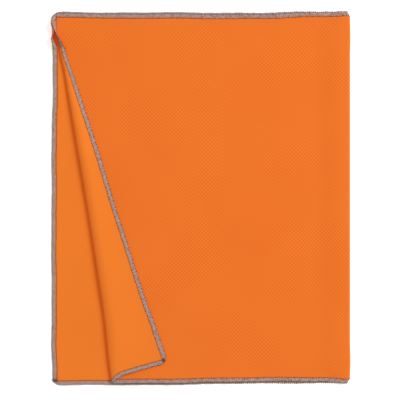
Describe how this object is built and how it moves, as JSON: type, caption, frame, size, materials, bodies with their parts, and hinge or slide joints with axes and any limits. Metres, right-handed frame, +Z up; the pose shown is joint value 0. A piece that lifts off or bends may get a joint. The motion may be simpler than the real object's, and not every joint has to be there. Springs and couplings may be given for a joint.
{
  "type": "quick-dry towel",
  "caption": "Thin microfibre travel towel with overlocked edges, folded in half, one corner of the front half turned back.",
  "frame": {"origin": "middle of the folded towel's underside", "axes": "+Z up from the surface it lies on, +X from the open left edges to the half fold, +Y from the bottom hem to the top hem"},
  "size_m": [0.4, 0.5, 0.0087],
  "materials": {
    "cloth": "orange dimpled microfibre, smooth on the inner face",
    "looper_thread": "grey textured polyester thread",
    "needle_thread": "dark spun polyester thread"
  },
  "bodies": {
    "back_half": {"back_bottom_lower_looper": "looper_thread", "back_bottom_needle_thread": "needle_thread", "back_bottom_upper_looper": "looper_thread", "back_left_lower_looper": "looper_thread", "back_left_needle_thread": "needle_thread", "back_left_upper_looper": "looper_thread", "back_panel": "cloth", "back_thread_tail": "looper_thread", "back_top_lower_looper": "looper_thread", "back_top_needle_thread": "needle_thread", "back_top_upper_looper": "looper_thread"},
    "front_half": {"front_bottom_lower_looper": "looper_thread", "front_bottom_needle_thread": "needle_thread", "front_bottom_upper_looper": "looper_thread", "front_left_lower_looper": "looper_thread", "front_left_needle_thread": "needle_thread", "front_left_upper_looper": "looper_thread", "front_panel": "cloth", "front_top_lower_looper": "looper_thread", "front_top_needle_thread": "needle_thread", "front_top_upper_looper": "looper_thread"},
    "turned_corner": {"corner_bottom_lower_looper": "looper_thread", "corner_bottom_needle_thread": "needle_thread", "corner_bottom_upper_looper": "looper_thread", "corner_left_lower_looper": "looper_thread", "corner_left_needle_thread": "needle_thread", "corner_left_upper_looper": "looper_thread", "corner_panel": "cloth", "corner_thread_tail": "looper_thread"}
  },
  "joints": [
    {"name": "half_fold", "type": "hinge", "parent": "back_half", "child": "front_half", "pos_m": [0.20077, 0, 0.003], "axis": [0, 1, 0], "range_deg": [0, 179.9]},
    {"name": "corner_fold", "type": "hinge", "parent": "front_half", "child": "turned_corner", "pos_m": [-0.20002, 0.25, 0.00468], "axis": [0.1599, -0.9871, 0.001], "range_deg": [0, 179.9]}
  ]
}
